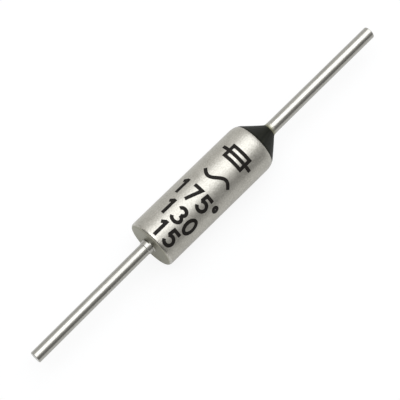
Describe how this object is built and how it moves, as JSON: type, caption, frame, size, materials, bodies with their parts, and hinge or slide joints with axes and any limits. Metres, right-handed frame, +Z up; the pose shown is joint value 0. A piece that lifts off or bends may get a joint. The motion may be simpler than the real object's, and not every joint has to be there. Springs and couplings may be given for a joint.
{
  "type": "thermal fuse",
  "caption": "Axial one-shot thermal fuse: a metal case with a riveted wire lead at its closed end and an isolated wire lead in a cone of sealing resin at the other.",
  "frame": {"origin": "on the axis of the case, half way between its closed end and the end of its rolled lip", "axes": "+X along the axis towards the isolated lead and -X towards the case lead; Y and Z are across, and +Z is up in the pictured position"},
  "size_m": [0.0351, 0.004, 0.004],
  "materials": {
    "nickelled_case": "drawn brass with a satin nickel plating",
    "tinned_wire": "tinned copper wire, semi-bright",
    "pellet_compound": "pressed organic powder, matt",
    "disc_steel": "stamped sheet, bright",
    "spring_steel": "drawn spring wire, bright",
    "contact_silver": "silver alloy sheet, satin",
    "bushing_ceramic": "fired alumina, unglazed",
    "black_resin": "cast epoxy, satin"
  },
  "bodies": {
    "root": {"case": "nickelled_case", "case_lead": "tinned_wire", "thermal_pellet": "pellet_compound", "pellet_disc": "disc_steel", "barrel_spring": "spring_steel", "contact_disc": "disc_steel", "star_contact": "contact_silver", "trip_spring": "spring_steel", "ceramic_bushing": "bushing_ceramic", "isolated_lead": "tinned_wire", "sealing_resin": "black_resin"}
  },
  "joints": []
}
